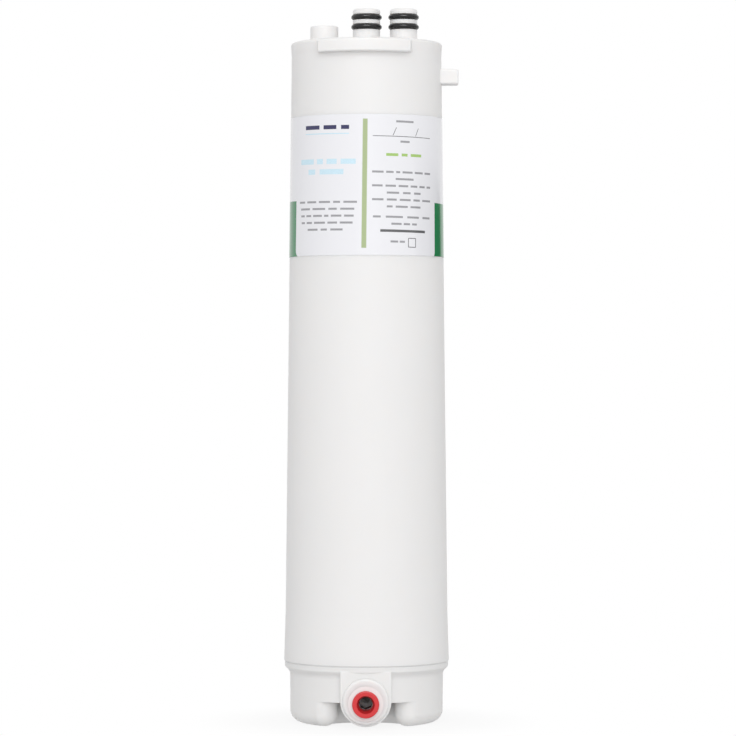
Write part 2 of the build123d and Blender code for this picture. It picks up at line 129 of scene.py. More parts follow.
extruded_abs, tree, shader, place = new_finish("extruded_natural_abs")
die_lines = noise(tree, stretched(tree, place, die_line_stretch), 1.0 / die_line_spacing, 1.0)
tube_tone = two_tone(tree, noise(tree, place, tube_clouds), tube_colour, tube_shade)
coat(tree, shader, tube_tone, between(tree, die_lines, *tube_roughness))
raise_surface(tree, shader, die_lines, die_line_depth)
wear(extruded_abs, "permeate_tube", "tube_plug")

# Membrane roll
# Leaves of membrane, carrier cloth and feed net, glued on three sides and wound on the tube.
# The ends show the turns as a spiral, and the outside shows the crossed strands of the net.
turn_pitch = 0.0011
strand_pitch = 0.0028
leaf_white = (0.78, 0.79, 0.75, 1.0)
leaf_grain = 500.0
leaf_roughness = (0.55, 0.75)
net_grey = (0.50, 0.52, 0.52, 1.0)
net_sharpness = 4.0
net_depth = 0.0003
end_slope = 0.5
half_pitch = 0.5

wound_leaves, tree, shader, place = new_finish("wound_membrane_leaves")


def maths(tree, operation, *values, clamp=False):
    """One step of arithmetic in a material or a geometry tree."""
    return add_node(
        tree, "ShaderNodeMath", dict(enumerate(values)), operation=operation, use_clamp=clamp
    ).outputs[0]


def reach_of(tree, first, second):
    """Length of the long side over two sides at a right angle."""
    squares = maths(tree, "ADD", maths(tree, "POWER", first, 2.0), maths(tree, "POWER", second, 2.0))
    return maths(tree, "SQRT", squares)


def turn_of(tree, across):
    """Share of a full turn around the axis of the cartridge."""
    return maths(tree, "DIVIDE", maths(tree, "ARCTAN2", across["Y"], across["X"]), 2 * math.pi)


across = add_node(tree, "ShaderNodeSeparateXYZ", {"Vector": place}).outputs
turn = turn_of(tree, across)
reach = reach_of(tree, across["X"], across["Y"])
winding = maths(tree, "SUBTRACT", maths(tree, "DIVIDE", reach, turn_pitch), turn)
leaf_edge = maths(tree, "PINGPONG", winding, half_pitch)
lift = maths(tree, "DIVIDE", across["Z"], strand_pitch)
strand_count = round(2 * math.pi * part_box("membrane_roll")[1].x / strand_pitch)
girth = maths(tree, "MULTIPLY", turn, strand_count)
strand_one = maths(tree, "PINGPONG", maths(tree, "ADD", girth, lift), half_pitch)
strand_two = maths(tree, "PINGPONG", maths(tree, "SUBTRACT", girth, lift), half_pitch)
strands = maths(tree, "MINIMUM", strand_one, strand_two)
normal = add_node(tree, "ShaderNodeNewGeometry").outputs["Normal"]
facing = add_node(tree, "ShaderNodeSeparateXYZ", {"Vector": normal}).outputs["Z"]
on_end = maths(tree, "GREATER_THAN", maths(tree, "ABSOLUTE", facing), end_slope)
weave = add_node(tree, "ShaderNodeMix", {"Factor": on_end, "A": strands, "B": leaf_edge}).outputs["Result"]
net_share = maths(tree, "SUBTRACT", 1.0, maths(tree, "MULTIPLY", weave, net_sharpness), clamp=True)
roll_roughness = between(tree, noise(tree, place, leaf_grain), *leaf_roughness)
coat(tree, shader, two_tone(tree, net_share, leaf_white, net_grey), roll_roughness)
raise_surface(tree, shader, net_share, net_depth)
wear(wound_leaves, "membrane_roll")

# Element wrap
# Clear adhesive film wound around the roll to hold the leaves shut.
# It lies in a steep helix, so the edges of its turns show as faint steps.
tape_width = 0.050
wrap_tone = (0.66, 0.70, 0.73, 1.0)
wrap_overlap_tone = (0.58, 0.63, 0.67, 1.0)
wrap_clouds = 120.0
wrap_roughness = (0.12, 0.26)
overlap_share = 0.15
overlap_step = 0.00005

wrap_film, tree, shader, place = new_finish("wound_adhesive_film")
across = add_node(tree, "ShaderNodeSeparateXYZ", {"Vector": place}).outputs
tape_turns = maths(tree, "DIVIDE", across["Z"], tape_width)
lap = maths(tree, "FRACT", maths(tree, "ADD", tape_turns, turn_of(tree, across)))
overlap = maths(tree, "LESS_THAN", lap, overlap_share)
film_roughness = between(tree, noise(tree, place, wrap_clouds), *wrap_roughness)
coat(tree, shader, two_tone(tree, overlap, wrap_tone, wrap_overlap_tone), film_roughness)
raise_surface(tree, shader, overlap, overlap_step)
wear(wrap_film, "element_wrap")

# End caps
# Spoked discs moulded in natural ABS and pressed on the tube at both ends of the roll.
# They keep the leaves from sliding out, and the upper one carries the brine seal.
spoke_colour = (0.70, 0.70, 0.66, 1.0)
spoke_shade = (0.64, 0.64, 0.60, 1.0)
spoke_clouds, spoke_cloud_detail = 45.0, 3.0
spoke_roughness = (0.36, 0.48)
spoke_grain, spoke_grain_depth = 1800.0, 0.00003

moulded_abs, tree, shader, place = new_finish("moulded_natural_abs")
cloud = noise(tree, place, spoke_clouds, spoke_cloud_detail)
spoke_tone = two_tone(tree, cloud, spoke_colour, spoke_shade)
coat(tree, shader, spoke_tone, between(tree, cloud, *spoke_roughness))
raise_surface(tree, shader, noise(tree, place, spoke_grain), spoke_grain_depth)
wear(moulded_abs, "upper_end_cap", "lower_end_cap")

# Brine seal and stem seals
# Black EPDM: a lip ring that closes the gap between the element and the canister,
# and two O-rings that seal the tube in its socket. All are moulded and pushed on by hand.
rubber_black = (0.008, 0.008, 0.009, 1.0)
rubber_bloom = (0.018, 0.018, 0.019, 1.0)
bloom_detail = 4.0
skin_grain, skin_grain_depth = 5200.0, 0.00002
inner_bloom = 160.0
inner_roughness = (0.42, 0.58)


def rubber_finish(name, bloom_scale, roughness):
    """Moulded black rubber with a patchy bloom and a fine skin."""
    material, tree, shader, place = new_finish(name)
    bloom = noise(tree, place, bloom_scale, bloom_detail)
    rubber_tone = two_tone(tree, bloom, rubber_black, rubber_bloom)
    coat(tree, shader, rubber_tone, between(tree, bloom, *roughness))
    raise_surface(tree, shader, noise(tree, place, skin_grain), skin_grain_depth)
    return material


inner_rubber = rubber_finish("moulded_epdm", inner_bloom, inner_roughness)
wear(inner_rubber, "brine_seal", "stem_upper_o_ring", "stem_lower_o_ring")

# Canister
# The pressure vessel is injection moulded in white polypropylene, in one piece with its two nozzles,
# the locating post, the bayonet lugs and the stop tab. Its long wall is drafted towards the top.
canister_white = (0.815, 0.805, 0.800, 1.0)
canister_cloud = (0.790, 0.782, 0.778, 1.0)
canister_flow_stretch = 0.03
flow_lines, plastic_clouds, plastic_detail = 180.0, 22.0, 3.0
satin_roughness = (0.44, 0.54)
polypropylene_ior = 1.46
milky_share = 0.40
milky_colours = (1.0, 0.92, 0.85)
milky_depth = 0.0040
mould_grain, mould_grain_depth = 2600.0, 0.000012


def polypropylene_finish(name, tone, cloud_tone, flow_stretch):
    """White polypropylene: faint flow lines, cloudy depth and the satin grain of the mould."""
    material, tree, shader, place = new_finish(name)
    flow = noise(tree, stretched(tree, place, flow_stretch), flow_lines, plastic_detail)
    cloud = noise(tree, place, plastic_clouds, plastic_detail)
    coat(tree, shader, two_tone(tree, cloud, tone, cloud_tone), between(tree, flow, *satin_roughness))
    shader.inputs["IOR"].default_value = polypropylene_ior
    shader.inputs["Subsurface Weight"].default_value = milky_share
    shader.inputs["Subsurface Radius"].default_value = milky_colours
    shader.inputs["Subsurface Scale"].default_value = milky_depth
    raise_surface(tree, shader, noise(tree, place, mould_grain), mould_grain_depth)
    return material


canister_finish = polypropylene_finish(
    "canister_polypropylene", canister_white, canister_cloud, canister_flow_stretch
)
wear(canister_finish, "pressure_vessel")

# Bottom cap
# Injection moulded in the same white polypropylene and spin welded to the canister.
# Its foot is scooped out at the front around the drain-port boss.
cap_white = (0.797, 0.790, 0.784, 1.0)
cap_cloud = (0.774, 0.767, 0.762, 1.0)
cap_flow_stretch = 0.25

cap_finish = polypropylene_finish("cap_polypropylene", cap_white, cap_cloud, cap_flow_stretch)
wear(cap_finish, "bottom_cap")

# Flow restrictor
# A small plug of natural acetal with a fine hole that holds the drain flow back.
# It is pushed into the riser behind the drain port.
restrictor_tone = (0.72, 0.72, 0.70, 1.0)
restrictor_shade = (0.66, 0.66, 0.64, 1.0)
restrictor_roughness = (0.34, 0.46)
acetal_clouds = 260.0
acetal_ior = 1.48
tool_marks, tool_mark_depth = 4200.0, 0.00001


def acetal_finish(name, tone, shade, roughness):
    """Acetal: a hard, slightly waxy plastic with fine tool marks."""
    material, tree, shader, place = new_finish(name)
    cloud = noise(tree, place, acetal_clouds)
    coat(tree, shader, two_tone(tree, cloud, tone, shade), between(tree, cloud, *roughness))
    shader.inputs["IOR"].default_value = acetal_ior
    raise_surface(tree, shader, noise(tree, place, tool_marks), tool_mark_depth)
    return material


restrictor_finish = acetal_finish("natural_acetal", restrictor_tone, restrictor_shade, restrictor_roughness)
wear(restrictor_finish, "flow_restrictor")

# Drain-tube seal and its spacer
# A nitrile O-ring that seals on the drain tube, kept in its seat by a white acetal ring.
# Both drop into the boss before the collet parts.
spacer_white = (0.76, 0.76, 0.75, 1.0)
spacer_shade = (0.71, 0.71, 0.70, 1.0)
spacer_roughness = (0.38, 0.50)
tube_seal_bloom = 300.0
tube_seal_roughness = (0.40, 0.52)

wear(rubber_finish("drain_tube_nitrile", tube_seal_bloom, tube_seal_roughness), "tube_o_ring")
wear(acetal_finish("spacer_acetal", spacer_white, spacer_shade, spacer_roughness), "tube_seal_spacer")

# Collet retainer
# A white acetal ring pressed into the boss, flush with the collar.
# Its inner ramp closes the collet fingers on the tube when the tube is pulled.
retainer_white = (0.880, 0.872, 0.870, 1.0)
retainer_shade = (0.855, 0.848, 0.845, 1.0)
retainer_roughness = (0.40, 0.50)

retainer_finish = acetal_finish("retainer_acetal", retainer_white, retainer_shade, retainer_roughness)
wear(retainer_finish, "collet_retainer")

# Release collet
# Red acetal, moulded in one piece: the flange is pressed in to let the drain tube go.
# Its slotted fingers carry the grip ring.
collet_red = (0.650, 0.032, 0.036, 1.0)
collet_deep_red = (0.585, 0.024, 0.028, 1.0)
collet_roughness = (0.30, 0.40)

wear(acetal_finish("red_acetal", collet_red, collet_deep_red, collet_roughness), "release_collet")

# Grip ring
# A ring of stainless spring steel, stamped with teeth that bite the tube.
# It sits in a groove inside the collet fingers.
steel_tone = (0.56, 0.56, 0.57, 1.0)
steel_shade = (0.44, 0.44, 0.45, 1.0)
steel_roughness = (0.22, 0.36)
roll_mark_scale, roll_mark_depth = 6000.0, 0.000005
roll_mark_stretch = (0.05, 1.0, 1.0)

stamped_steel, tree, shader, place = new_finish("stamped_spring_steel")
rolling = add_node(tree, "ShaderNodeMapping", {"Vector": place, "Scale": roll_mark_stretch}).outputs["Vector"]
roll_marks = noise(tree, rolling, roll_mark_scale)
steel_look = two_tone(tree, roll_marks, steel_tone, steel_shade)
coat(tree, shader, steel_look, between(tree, roll_marks, *steel_roughness))
shader.inputs["Metallic"].default_value = 1.0
raise_surface(tree, shader, roll_marks, roll_mark_depth)
wear(stamped_steel, "grip_ring")

# Nozzle O-rings
# Four black nitrile rings, two on each nozzle, stretched into their grooves.
# They seal the cartridge in the bores of its head, and are wiped with silicone grease.
nozzle_bloom = 240.0
nozzle_roughness = (0.20, 0.30)
greased_shine = 0.32

nozzle_rubber = rubber_finish("nozzle_nitrile", nozzle_bloom, nozzle_roughness)
shader = nozzle_rubber.node_tree.nodes["Principled BSDF"]
shader.inputs["Specular IOR Level"].default_value = greased_shine
wear(
    nozzle_rubber,
    "permeate_upper_o_ring",
    "permeate_lower_o_ring",
    "feed_upper_o_ring",
    "feed_lower_o_ring",
)

# Label film
# A printed strip of white polypropylene film under a clear gloss layer, stuck around the taper.
# Its ends stop short of each other at the back. Green fields flank the white panel at the front.
label_low, label_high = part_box("label")
film_thickness = 0.00015
thickness_share = 0.9
film_height = label_high.z - label_low.z
film_columns, film_rows = 361, 12
base_radius = label_high.x
wall_taper, wall_height = 0.0029, 0.2638
top_radius = base_radius - film_height * wall_taper / wall_height
middle_radius = (base_radius + top_radius) / 2
seam_gap = 0.002
film_width = 2 * math.pi * middle_radius - seam_gap
print_tilt = math.radians(-0.65)
panel_half_width = 0.03985
panel_middle = -0.0007
panel_corner = 0.003
panel_drop = 0.0006
green_height = 0.0256
stripe_half_width = 0.00112
stripe_middle = -0.0006
stripe_low, stripe_high = 0.0033, 0.0635
print_edge = 0.00012
film_white = (0.800, 0.800, 0.830, 1.0)
film_green = (0.014, 0.200, 0.068, 1.0)
stripe_olive = (0.390, 0.475, 0.255, 1.0)
gloss_clouds = 300.0
gloss_roughness = (0.12, 0.17)
film_waves, film_wave_depth = 60.0, 0.000006
crease_angle = math.radians(40)


def wrap_on_taper(tree, geometry, inputs):
    """Lay a flat geometry, given by girth and height, on the taper of the canister."""
    spot = add_node(tree, "GeometryNodeInputPosition").outputs["Position"]
    across = add_node(tree, "ShaderNodeSeparateXYZ", {"Vector": spot}).outputs
    climb = maths(tree, "DIVIDE", across["Y"], inputs["Height"])
    span = maths(tree, "SUBTRACT", inputs["Top Radius"], inputs["Base Radius"])
    radius = maths(tree, "MULTIPLY_ADD", climb, span, inputs["Base Radius"])
    middle = maths(tree, "MULTIPLY_ADD", span, 0.5, inputs["Base Radius"])
    angle = maths(tree, "SUBTRACT", maths(tree, "DIVIDE", across["X"], middle), math.pi / 2)
    around = add_node(
        tree,
        "ShaderNodeCombineXYZ",
        {
            "X": maths(tree, "MULTIPLY", radius, maths(tree, "COSINE", angle)),
            "Y": maths(tree, "MULTIPLY", radius, maths(tree, "SINE", angle)),
            "Z": maths(tree, "ADD", across["Y"], inputs["Base Height"]),
        },
    ).outputs["Vector"]
    return add_node(tree, "GeometryNodeSetPosition", {"Geometry": geometry, "Position": around}).outputs[0]


def new_tree(name, sizes):
    """A geometry tree with named inputs for its sizes and its finish."""
    tree = bpy.data.node_groups.new(name, "GeometryNodeTree")
    tree.interface.new_socket("Geometry", in_out="INPUT", socket_type="NodeSocketGeometry")
    for size in sizes:
        kind = "NodeSocketInt" if size == "Seed" else "NodeSocketFloat"
        tree.interface.new_socket(size, in_out="INPUT", socket_type=kind)
    tree.interface.new_socket("Finish", in_out="INPUT", socket_type="NodeSocketMaterial")
    tree.interface.new_socket("Geometry", in_out="OUTPUT", socket_type="NodeSocketGeometry")
    return tree, add_node(tree, "NodeGroupInput").outputs


def end_tree(tree, geometry, inputs):
    """Close a geometry tree: smooth faces, no instances left, and the finish put on."""
    smooth = add_node(tree, "GeometryNodeSetShadeSmooth", {"Geometry": geometry}).outputs[0]
    plain = add_node(tree, "GeometryNodeRealizeInstances", {"Geometry": smooth}).outputs[0]
    dressed = add_node(
        tree, "GeometryNodeSetMaterial", {"Geometry": plain, "Material": inputs["Finish"]}
    ).outputs[0]
    add_node(tree, "NodeGroupOutput", {"Geometry": dressed})


def piece_from_tree(name, mesh, tree, values):
    """A new object that a geometry tree shapes by its named inputs."""
    piece = bpy.data.objects.new(name, mesh)
    bpy.context.scene.collection.objects.link(piece)
    shaper = piece.modifiers.new(tree.name, "NODES")
    shaper.node_group = tree
    for item in tree.interface.items_tree:
        if item.in_out == "INPUT" and item.name in values:
            shaper[item.identifier] = values[item.name]
    return piece


def make_plain(piece):
    """Keep what a piece's modifiers make as its plain mesh, and take them off."""
    graph = bpy.context.evaluated_depsgraph_get()
    mesh = bpy.data.meshes.new_from_object(piece.evaluated_get(graph), depsgraph=graph)
    piece.modifiers.clear()
    piece.data = mesh
    mesh.set_sharp_from_angle(angle=crease_angle)


gloss_film, tree, shader, _ = new_finish("printed_gloss_film")
flat = add_node(tree, "ShaderNodeAttribute", attribute_name="flat_place").outputs["Vector"]
on_film = add_node(tree, "ShaderNodeSeparateXYZ", {"Vector": flat}).outputs
rise = maths(tree, "SUBTRACT", on_film["Y"], film_height / 2)
print_x = maths(tree, "MULTIPLY_ADD", rise, math.tan(print_tilt), on_film["X"])
there_and_back = maths(tree, "PINGPONG", maths(tree, "ADD", on_film["X"], film_width / 4), film_width / 2)
lean = maths(tree, "SUBTRACT", there_and_back, film_width / 4)
print_y = maths(tree, "MULTIPLY_ADD", lean, -math.tan(print_tilt), on_film["Y"])


def inside(tree, distance):
    """Share of ink where a distance to an edge is below nothing."""
    return add_node(
        tree,
        "ShaderNodeMapRange",
        {"Value": distance, "From Min": -print_edge, "From Max": print_edge, "To Min": 1.0, "To Max": 0.0},
    ).outputs["Result"]


panel_side = maths(tree, "ABSOLUTE", maths(tree, "SUBTRACT", print_x, panel_middle))
past_side = maths(tree, "MAXIMUM", maths(tree, "SUBTRACT", panel_side, panel_half_width - panel_corner), 0.0)
past_foot = maths(tree, "MAXIMUM", maths(tree, "SUBTRACT", panel_corner - panel_drop, print_y), 0.0)
off_panel = maths(tree, "SUBTRACT", panel_corner, reach_of(tree, past_side, past_foot))
over_green = maths(tree, "SUBTRACT", print_y, green_height)
green_share = inside(tree, maths(tree, "MAXIMUM", off_panel, over_green))
stripe_side = maths(tree, "ABSOLUTE", maths(tree, "SUBTRACT", print_x, stripe_middle))
stripe_end = maths(tree, "ABSOLUTE", maths(tree, "SUBTRACT", print_y, (stripe_low + stripe_high) / 2))
off_stripe_side = maths(tree, "SUBTRACT", stripe_side, stripe_half_width)
off_stripe_end = maths(tree, "SUBTRACT", stripe_end, (stripe_high - stripe_low) / 2)
stripe_share = inside(tree, maths(tree, "MAXIMUM", off_stripe_side, off_stripe_end))
greened = two_tone(tree, green_share, film_white, film_green)
striped = two_tone(tree, stripe_share, greened, stripe_olive)
coat(tree, shader, striped, between(tree, noise(tree, flat, gloss_clouds), *gloss_roughness))
raise_surface(tree, shader, noise(tree, flat, film_waves, 1.0), film_wave_depth)

sizes = ["Width", "Height", "Base Height", "Base Radius", "Top Radius"]
film_tree, inputs = new_tree("label_film", sizes)
sheet = add_node(
    film_tree,
    "GeometryNodeMeshGrid",
    {
        "Size X": inputs["Width"],
        "Size Y": inputs["Height"],
        "Vertices X": film_columns,
        "Vertices Y": film_rows,
    },
).outputs["Mesh"]
half_height = maths(film_tree, "MULTIPLY", inputs["Height"], 0.5)
half_up = add_node(film_tree, "ShaderNodeCombineXYZ", {"Y": half_height}).outputs["Vector"]
raised = add_node(film_tree, "GeometryNodeSetPosition", {"Geometry": sheet, "Offset": half_up}).outputs[0]
spot = add_node(film_tree, "GeometryNodeInputPosition").outputs["Position"]
marked = add_node(
    film_tree,
    "GeometryNodeStoreNamedAttribute",
    {"Geometry": raised, "Name": "flat_place", "Value": spot},
    data_type="FLOAT_VECTOR",
).outputs["Geometry"]
end_tree(film_tree, wrap_on_taper(film_tree, marked, inputs), inputs)
label_film = piece_from_tree(
    "label_film",
    bpy.data.meshes.new("label_film"),
    film_tree,
    {
        "Width": film_width,
        "Height": film_height,
        "Base Height": label_low.z,
        "Base Radius": base_radius - film_thickness,
        "Top Radius": top_radius - film_thickness,
        "Finish": gloss_film,
    },
)
body_of_film = label_film.modifiers.new("film_thickness", "SOLIDIFY")
body_of_film.thickness = film_thickness * thickness_share
body_of_film.offset = 1.0
make_plain(label_film)
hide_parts("label")
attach(label_film, "cartridge")

# Label print
# Bars of ink in two centred columns, with a line and two strokes for a date and a small box to tick.
# They are screen printed in dark blue, pale blue, green and grey, and lie under the gloss layer.
ink_navy = (0.035, 0.035, 0.105)
ink_pale_blue = (0.58, 0.765, 0.865)
ink_leaf = (0.36, 0.55, 0.16)
ink_grey = (0.330, 0.330, 0.345)
ink_dark_grey = (0.120, 0.120, 0.125)
left_column, right_column = -0.0206, 0.0191
text_bar, text_pitch = 0.00095, 0.00322
rule_bar = 0.0003
heading_height, heading_bar, heading_length = 0.0596, 0.0019, 0.0248
underline_height, underline_bar = 0.0566, 0.0005
notice_height, notice_bar, notice_pitch = 0.0436, 0.0024, 0.0048
closing_height = 0.0247
date_title_height, date_title_length = 0.0626, 0.0095
date_height = 0.0579
date_stroke, date_lean = 0.0041, math.radians(65)
date_stroke_places = (0.01365, 0.02595)
date_line_height, date_line_length = 0.0556, 0.0322
date_note_height, date_note_length = 0.0532, 0.0050
leaf_height, leaf_bar, leaf_length = 0.0470, 0.0013, 0.0192
notes_height = 0.0389
terms_height = 0.0180
ending_height, ending_bar, ending_length = 0.0115, 0.0012, 0.0243
tick_note_middle, tick_note_height, tick_note_length = 0.01555, 0.0065, 0.0073
tick_middle, tick_height = 0.02315, 0.00615
tick_side, tick_bar = 0.0041, 0.00035
word_gap = 0.34
shortest_word, longest_word = 0.5, 1.6
print_seed = 7
bar_columns, bar_rows = 24, 4
screen_grain = 3000.0
screen_share = (0.92, 1.08)

print_rows = []


def lay_rows(middle, height, bar, ink, rows, pitch=0.0, lean=0.0):
    """Set rows of bars from the top down, each given by its length and its number of words."""
    for step, (length, words) in enumerate(rows):
        row = {"middle": middle, "height": height - step * pitch, "length": length}
        print_rows.append(row | {"bar": bar, "words": words, "lean": lean, "ink": ink})


lay_rows(left_column, heading_height, heading_bar, ink_navy, [(heading_length, 3)])
lay_rows(left_column, underline_height, underline_bar, ink_pale_blue, [(heading_length, 1)])
notice_rows = [(0.0315, 4), (0.0198, 2)]
lay_rows(left_column, notice_height, notice_bar, ink_pale_blue, notice_rows, notice_pitch)
closing_rows = [(0.0331, 5), (0.0307, 4), (0.0302, 6), (0.0293, 5), (0.0198, 3)]
lay_rows(left_column, closing_height, text_bar, ink_grey, closing_rows, text_pitch)
lay_rows(right_column, date_title_height, text_bar, ink_grey, [(date_title_length, 1)])
lay_rows(right_column, date_line_height, rule_bar, ink_dark_grey, [(date_line_length, 1)])
for place_on_line in date_stroke_places:
    lay_rows(place_on_line, date_height, rule_bar, ink_dark_grey, [(date_stroke, 1)], lean=date_lean)
lay_rows(right_column, date_note_height, text_bar, ink_grey, [(date_note_length, 1)])
lay_rows(right_column, leaf_height, leaf_bar, ink_leaf, [(leaf_length, 3)])
notes_rows = [(0.0325, 6), (0.0097, 1), (0.0324, 6), (0.0184, 3), (0.0323, 5), (0.0183, 3)]
lay_rows(right_column, notes_height, text_bar, ink_grey, notes_rows, text_pitch)
terms_rows = [(0.0313, 4), (0.0137, 3)]
lay_rows(right_column, terms_height, text_bar, ink_grey, terms_rows, text_pitch)
lay_rows(right_column, ending_height, ending_bar, ink_dark_grey, [(ending_length, 1)])
lay_rows(tick_note_middle, tick_note_height, text_bar, ink_grey, [(tick_note_length, 2)])
for side in (1, -1):
    lay_rows(tick_middle, tick_height + side * tick_side / 2, tick_bar, ink_dark_grey, [(tick_side, 1)])
for side in (-1, 1):
    upright_place = tick_middle + side * tick_side / 2
    lay_rows(upright_place, tick_height, tick_bar, ink_dark_grey, [(tick_side, 1)], lean=math.pi / 2)

row_mesh = bpy.data.meshes.new("label_print_rows")
row_mesh.from_pydata([(row["middle"], row["height"], 0.0) for row in print_rows], [], [])
for fact, kind in (("length", "FLOAT"), ("bar", "FLOAT"), ("words", "INT"), ("lean", "FLOAT")):
    carried = row_mesh.attributes.new("row_" + fact, kind, "POINT")
    carried.data.foreach_set("value", [row[fact] for row in print_rows])
ink = row_mesh.attributes.new("ink_colour", "FLOAT_COLOR", "POINT")
ink.data.foreach_set("color", [part for row in print_rows for part in (*row["ink"], 1.0)])

printed_ink, tree, shader, place = new_finish("printed_ink")
ink_tone = add_node(tree, "ShaderNodeAttribute", attribute_name="ink_colour").outputs["Color"]
screen = between(tree, noise(tree, place, screen_grain), *screen_share)
screened = add_node(tree, "ShaderNodeHueSaturation", {"Color": ink_tone, "Value": screen}).outputs["Color"]
coat(tree, shader, screened, between(tree, noise(tree, place, gloss_clouds), *gloss_roughness))

sizes = ["Height", "Base Height", "Base Radius", "Top Radius", "Tilt", "Word Gap", "Seed"]
print_tree, inputs = new_tree("label_print", sizes)


def row_fact(name, kind="FLOAT"):
    """A number that each row of the print carries."""
    return add_node(
        print_tree, "GeometryNodeInputNamedAttribute", {"Name": name}, data_type=kind
    ).outputs["Attribute"]


def kept(geometry, name, value, kind="FLOAT"):
    """A geometry that carries one more number on its points."""
    return add_node(
        print_tree,
        "GeometryNodeStoreNamedAttribute",
        {"Geometry": geometry, "Name": name, "Value": value},
        data_type=kind,
    ).outputs["Geometry"]


points = add_node(print_tree, "GeometryNodeMeshToPoints", {"Mesh": inputs["Geometry"]}).outputs["Points"]
numbered = kept(points, "row", add_node(print_tree, "GeometryNodeInputIndex").outputs[0], "INT")
words = add_node(
    print_tree,
    "GeometryNodeDuplicateElements",
    {"Geometry": numbered, "Amount": row_fact("row_words", "INT")},
    domain="POINT",
).outputs["Geometry"]
drawn_length = add_node(
    print_tree, "FunctionNodeRandomValue", {"Seed": inputs["Seed"]}, data_type="FLOAT"
)
drawn_length.inputs[2].default_value = shortest_word
drawn_length.inputs[3].default_value = longest_word
words = kept(words, "word_length", drawn_length.outputs[1])
word_length = row_fact("word_length")
running = add_node(
    print_tree,
    "GeometryNodeAccumulateField",
    {"Value": maths(print_tree, "ADD", word_length, inputs["Word Gap"]), "Group ID": row_fact("row", "INT")},
    data_type="FLOAT",
    domain="POINT",
).outputs
row_total = maths(print_tree, "SUBTRACT", running["Total"], inputs["Word Gap"])
words = kept(words, "row_share", maths(print_tree, "DIVIDE", row_fact("row_length"), row_total))
word_middle = maths(print_tree, "MULTIPLY_ADD", word_length, 0.5, running["Trailing"])
from_row_start = maths(print_tree, "MULTIPLY", word_middle, row_fact("row_share"))
half_row = maths(print_tree, "MULTIPLY", row_fact("row_length"), 0.5)
words = kept(words, "word_place", maths(print_tree, "SUBTRACT", from_row_start, half_row))
shift = add_node(print_tree, "ShaderNodeCombineXYZ", {"X": row_fact("word_place")}).outputs[0]
spaced = add_node(print_tree, "GeometryNodeSetPosition", {"Geometry": words, "Offset": shift}).outputs[0]
bar = add_node(
    print_tree,
    "GeometryNodeMeshGrid",
    {"Size X": 1.0, "Size Y": 1.0, "Vertices X": bar_columns, "Vertices Y": bar_rows},
).outputs["Mesh"]
bar_turn = add_node(print_tree, "ShaderNodeCombineXYZ", {"Z": row_fact("row_lean")}).outputs[0]
bar_length = maths(print_tree, "MULTIPLY", word_length, row_fact("row_share"))
bar_size = add_node(
    print_tree, "ShaderNodeCombineXYZ", {"X": bar_length, "Y": row_fact("row_bar"), "Z": 1.0}
).outputs[0]
bars = add_node(
    print_tree,
    "GeometryNodeInstanceOnPoints",
    {"Points": spaced, "Instance": bar, "Rotation": bar_turn, "Scale": bar_size},
).outputs["Instances"]
flat_bars = add_node(print_tree, "GeometryNodeRealizeInstances", {"Geometry": bars}).outputs[0]
half_height = maths(print_tree, "MULTIPLY", inputs["Height"], 0.5)
print_middle = add_node(print_tree, "ShaderNodeCombineXYZ", {"Y": half_height}).outputs[0]
spot = add_node(print_tree, "GeometryNodeInputPosition").outputs["Position"]
tilted = add_node(
    print_tree,
    "ShaderNodeVectorRotate",
    {"Vector": spot, "Center": print_middle, "Angle": inputs["Tilt"]},
).outputs["Vector"]
skewed = add_node(
    print_tree, "GeometryNodeSetPosition", {"Geometry": flat_bars, "Position": tilted}
).outputs[0]
end_tree(print_tree, wrap_on_taper(print_tree, skewed, inputs), inputs)
label_print = piece_from_tree(
    "label_print",
    row_mesh,
    print_tree,
    {
        "Height": film_height,
        "Base Height": label_low.z,
        "Base Radius": base_radius,
        "Top Radius": top_radius,
        "Tilt": print_tilt,
        "Word Gap": word_gap,
        "Seed": print_seed,
        "Finish": printed_ink,
    },
)
make_plain(label_print)
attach(label_print, "cartridge")

# Studio
# A wide pale floor that glows a little, like a light table, under soft light from a white surround.
# A large softbox hangs in front of the cartridge, a little above it. A strip light higher up
# shows only as a line of shine on rubber and plastic.
floor_reach = 6.0
floor_tone = (0.80, 0.80, 0.80, 1.0)
floor_roughness = 0.9
shadow_near, shadow_far = 0.036, 0.090
shadow_share = 0.14
table_share = 0.52
table_level = 0.62
surround_level = 0.77
softbox_watts = 18.0
softbox_size = (1.3, 1.3)
softbox_place = (0.10, -2.0, 0.75)
softbox_aim = (0.0, 0.0, 0.17)
strip_watts = 32.0
strip_size = (1.1, 0.16)
strip_place = (0.0, -1.5, 1.30)
strip_aim = (0.0, 0.0, 0.33)

floor_mesh = bpy.data.meshes.new("floor")
corner_signs = [(-1, -1), (1, -1), (1, 1), (-1, 1)]
corners = [(x * floor_reach, y * floor_reach, 0.0) for x, y in corner_signs]
floor_mesh.from_pydata(corners, [], [(0, 1, 2, 3)])
floor = bpy.data.objects.new("floor", floor_mesh)
bpy.context.scene.collection.objects.link(floor)

floor_finish, tree, shader, place = new_finish("studio_floor")
shader.inputs["Base Color"].default_value = floor_tone
shader.inputs["Roughness"].default_value = floor_roughness
shader.inputs["Specular IOR Level"].default_value = 0.0


def seen_rays(tree):
    """One for rays of the lens, of reflections and through glass, and nothing for light on matt faces."""
    path = add_node(tree, "ShaderNodeLightPath").outputs
    mirrored = maths(tree, "MAXIMUM", path["Is Glossy Ray"], path["Is Transmission Ray"])
    return maths(tree, "MAXIMUM", path["Is Camera Ray"], mirrored)


